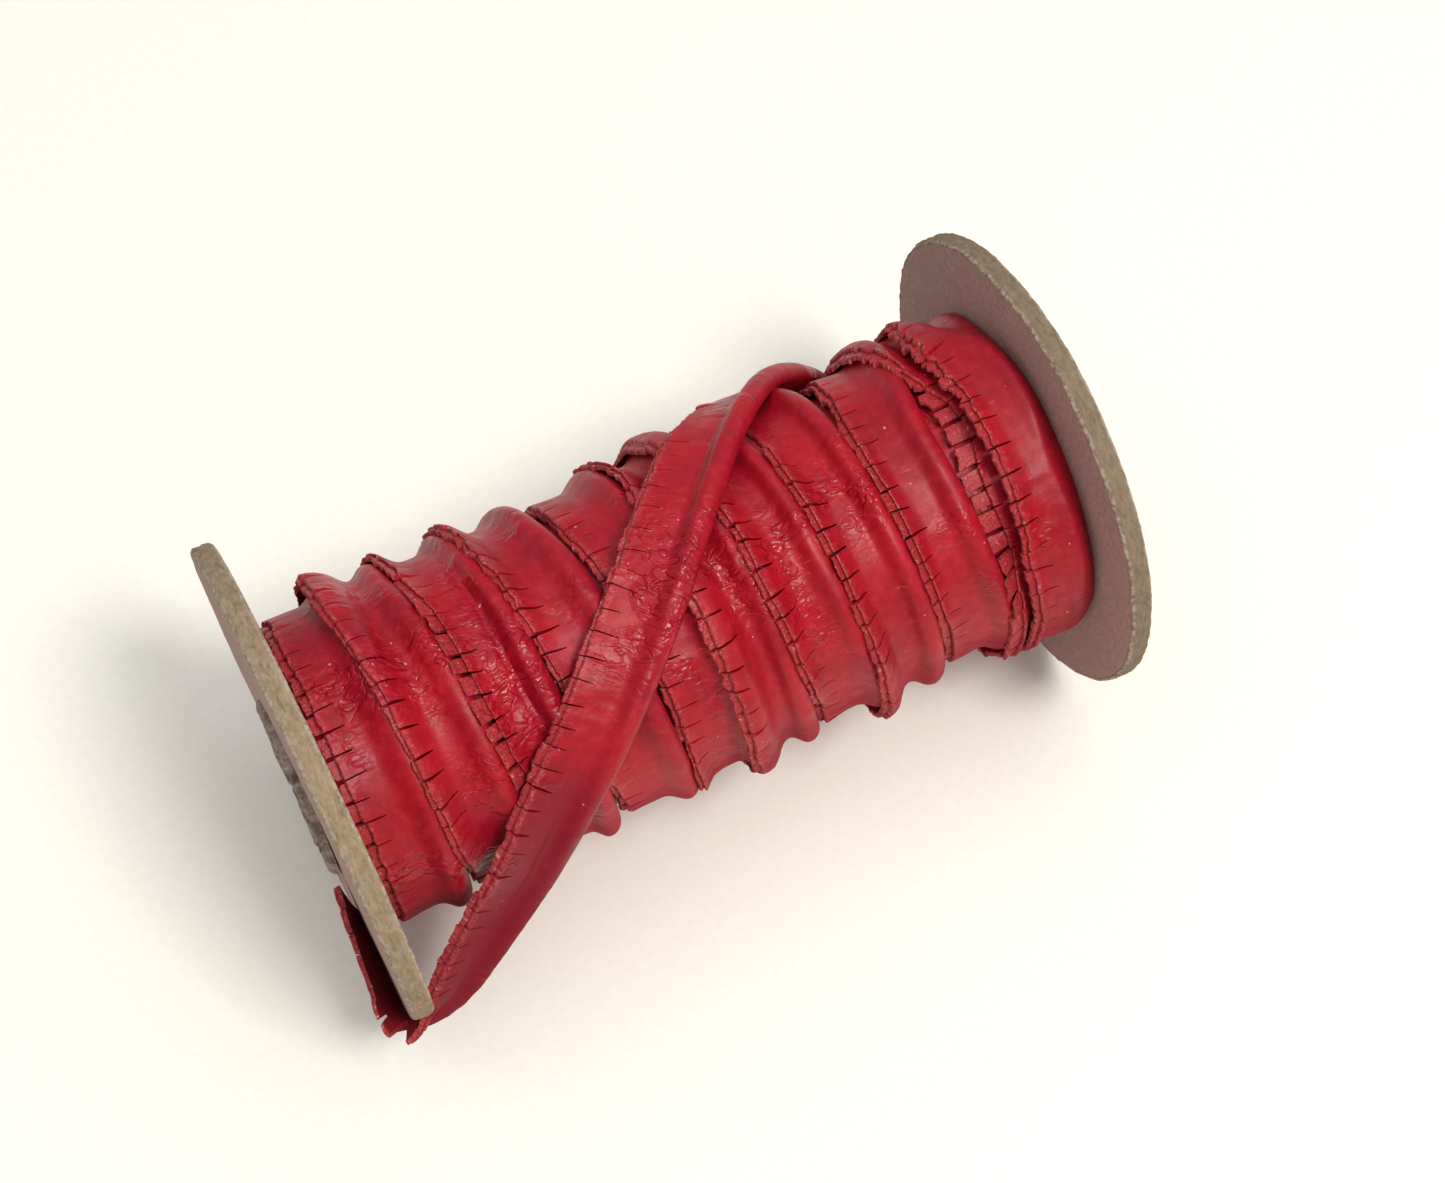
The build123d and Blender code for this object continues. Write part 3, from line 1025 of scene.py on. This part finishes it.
def board_disc(name, node, inner, outer, radius, lean_back, lean_up, lobes, painted_rim_shade, seed):
    """A pressed greyboard disc with softened corners and a fibrous rim. lean_back and lean_up
    say how far it is out of square, in millimetres for each millimetre from the axis. lobes are
    (height, phase, count) waves round its rim, and the argument before seed is the share of
    painted shade on the rim."""
    hole = CORE_LIP_RADIUS - HOLE_UNDER_LIP
    corner = 0.45
    thick = outer - inner
    profile = []  # share of the thickness, inset from the rim, is it rim
    for k in range(FACE_RINGS):
        profile.append((0.0, (radius - hole) * (1 - k / FACE_RINGS) ** 1.6 + corner, 0.0))
    for k in range(RIM_ROWS):
        turn = k / (RIM_ROWS - 1)
        inset = corner * max(0, 1 - turn * 5) ** 2 + corner * max(0, turn * 5 - 4) ** 2
        profile.append((0.004 + 0.992 * turn, inset, 1.0))
    for k in reversed(range(FACE_RINGS)):
        profile.append((1.0, (radius - hole) * (1 - k / FACE_RINGS) ** 1.6 + corner, 0.0))
    share, inset, rim = np.array(profile).T
    angle = np.linspace(0, 2 * np.pi, DISC_STEPS, endpoint=False)[:, None]
    edge = radius + sum(a * np.cos(np.radians(n) + c * angle) for a, n, c in lobes)
    away = np.maximum(edge - inset[None, :], hole - 0.2)
    flat = np.stack(
        [thick * share[None, :] + 0 * away, away * np.cos(angle), away * np.sin(angle)], -1
    ).reshape(-1, 3)
    fibres = 0.14 * noise(flat * np.array([3.0, 1, 1]), 1.3, seed)
    fibres += 0.10 * noise(flat, 0.5, seed + 1)
    warp = 0.05 * noise(flat, 5.0, seed + 2) + 0.02 * noise(flat, 0.9, seed + 3)
    away = away + (rim[None, :] * fibres.reshape(away.shape))
    along = inner + thick * share[None, :] + warp.reshape(away.shape)
    y, z = -away * np.cos(angle), away * np.sin(angle)
    along = along + lean_back * y + lean_up * z
    z = np.maximum(z, -AXIS_HEIGHT)
    vertices = MM * np.stack([along, y, z + AXIS_HEIGHT], -1).reshape(-1, 3)
    faces = closed_grid_faces(DISC_STEPS, len(profile))
    rims = np.broadcast_to(rim, away.shape).ravel()
    corners = rims * np.broadcast_to(inset > 0.02, away.shape).ravel()
    # the rim's share of painted shade
    marks = {"rim": rims, "corner": corners, "painted_rim_shade": painted_rim_shade + 0 * rims}
    piece = add_mesh(name, vertices, faces, GREYBOARD, 60, marks)
    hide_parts(node)
    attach(piece, "root")
    return piece


board_disc(
    "left_board", "left_disc", LEFT_OUTER, LEFT_INNER, DISC_RADIUS, -0.013, -0.014,
    ((0.10, 40, 3), (0.06, 10, 7)), 0.0, 51,
)
# painted shade on the right board's rim
board_disc(
    "right_board", "right_disc", RIGHT_INNER, RIGHT_OUTER, DISC_RADIUS - 0.25, 0.032, -0.034,
    ((0.12, 200, 3), (0.07, 80, 8)), 0.36, 61,
)

# ---------------------------------------------------------------- the core and other hidden paper

CORE_STEPS = 256


def rolled_core():
    """The paper tube through the discs, its ends rolled over them and crimped unevenly."""
    seat = RIGHT_OUTER + 0.05
    proud = CORE_END - seat
    wall = [(x, BORE_RADIUS) for x in np.linspace(-seat, seat, 60)]
    curl = CORE_LIP_RADIUS - BORE_RADIUS
    right = []
    for k in range(1, 13):
        turn = math.pi * k / 13
        right.append((seat + proud * math.sin(turn), BORE_RADIUS + curl * (1 - math.cos(turn)) / 2))
    right += [(seat, CORE_LIP_RADIUS), (seat, CORE_LIP_RADIUS - 0.8)]
    left = [(-x, r) for x, r in reversed(right)]
    outer = [(x, BORE_RADIUS + 1.05) for x in (seat, 0, -seat)]
    profile = np.array(wall + right + outer + left)
    along, away = profile.T
    angle = np.linspace(0, 2 * np.pi, CORE_STEPS, endpoint=False)[:, None]
    rolled = ease(seat - 0.2, seat + 0.3, np.abs(along))[None, :]
    lip = ease(BORE_RADIUS + 0.2, CORE_LIP_RADIUS, away)[None, :] * rolled
    side = np.sign(along)[None, :]
    ring = np.stack(
        [14 * np.cos(angle) + 0 * side, 14 * np.sin(angle) + 0 * side, 40 * side + 0 * angle], -1
    ).reshape(-1, 3)
    waves = noise(ring, 4.5, 71).reshape(CORE_STEPS, -1)
    folds = noise(ring, 1.6, 72).reshape(CORE_STEPS, -1)
    cracks = np.clip(noise(ring, 1.1, 73).reshape(CORE_STEPS, -1) - 0.45, 0, 1) * 1.8
    bulge = 1 - 0.32 * (0.5 + 0.5 * waves) - 0.12 * (0.5 + 0.5 * folds) - 0.5 * cracks
    along = along[None, :] + rolled * side * (np.abs(along)[None, :] - seat) * (bulge - 1)
    away = away[None, :] + lip * (0.30 * waves + 0.12 * folds - 0.5 * cracks - 0.15)
    seam = (np.degrees(angle) / 360 * 22 - along) % 22
    ply = 0.12 * ease(0, 0.5, seam) * ease(22, 0, seam)
    away = away + (1 - rolled) * (away < BORE_RADIUS + 0.3) * ply
    vertices = to_world(along, angle, away).reshape(-1, 3)
    # the share of painted shade in the rolled lip's cracks and folds
    crease = np.clip(rolled * (1.4 * cracks + 0.5 * ease(0.1, 0.6, folds)), 0, 1)
    faces = closed_grid_faces(CORE_STEPS, len(profile))
    return add_mesh("rolled_core", vertices, faces, CORE_PAPER, 50, {"crease": crease.ravel()})


core = rolled_core()
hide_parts("core_tube")
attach(core, "root")


def dress(node, material):
    """Gives a carried-over node a better material."""
    piece = frame["nodes"][node]
    for slot in piece.material_slots:
        slot.material = material


dress("barrel_tube", CORE_PAPER)
dress("start_tape", TAPE)
for number in (1, 2, 3):
    dress(f"piping_layer_{number}", INNER_LEATHER)

# ---------------------------------------------------------------- floor and light

FLOOR_HALF = 3.0  # metres

floor_mesh = bpy.data.meshes.new("floor")
floor_corners = [(x * FLOOR_HALF, y * FLOOR_HALF, 0) for x, y in ((-1, -1), (1, -1), (1, 1), (-1, 1))]
floor_mesh.from_pydata(floor_corners, [], [(0, 1, 2, 3)])
floor_mesh.materials.append(floor_material())
floor = bpy.data.objects.new("floor", floor_mesh)
bpy.context.collection.objects.link(floor)


def soft_light(name, place, size, power, colour):
    """A square area light that points at the spool. Its place and size are in metres."""
    data = bpy.data.lights.new(name, "AREA")
    data.energy, data.size, data.color = power, size, colour
    light = bpy.data.objects.new(name, data)
    light.location = place
    towards = Vector((0, 0, 0.02)) - light.location
    light.rotation_euler = towards.to_track_quat("-Z", "Y").to_euler()
    bpy.context.collection.objects.link(light)


soft_light("key", (0.20, -0.44, 0.86), 0.28, 5.8, (1.0, 0.98, 0.93))
soft_light("overhead", (0.05, -0.12, 1.34), 1.8, 10.2, (0.99, 0.985, 0.98))

world = bpy.data.worlds.new("studio")
bpy.context.scene.world = world
world.use_nodes = True
background = world.node_tree.nodes["Background"]
background.inputs["Color"].default_value = (0.985, 0.99, 1.02, 1)
background.inputs["Strength"].default_value = 0.41
bpy.context.scene.view_settings.view_transform = "Standard"
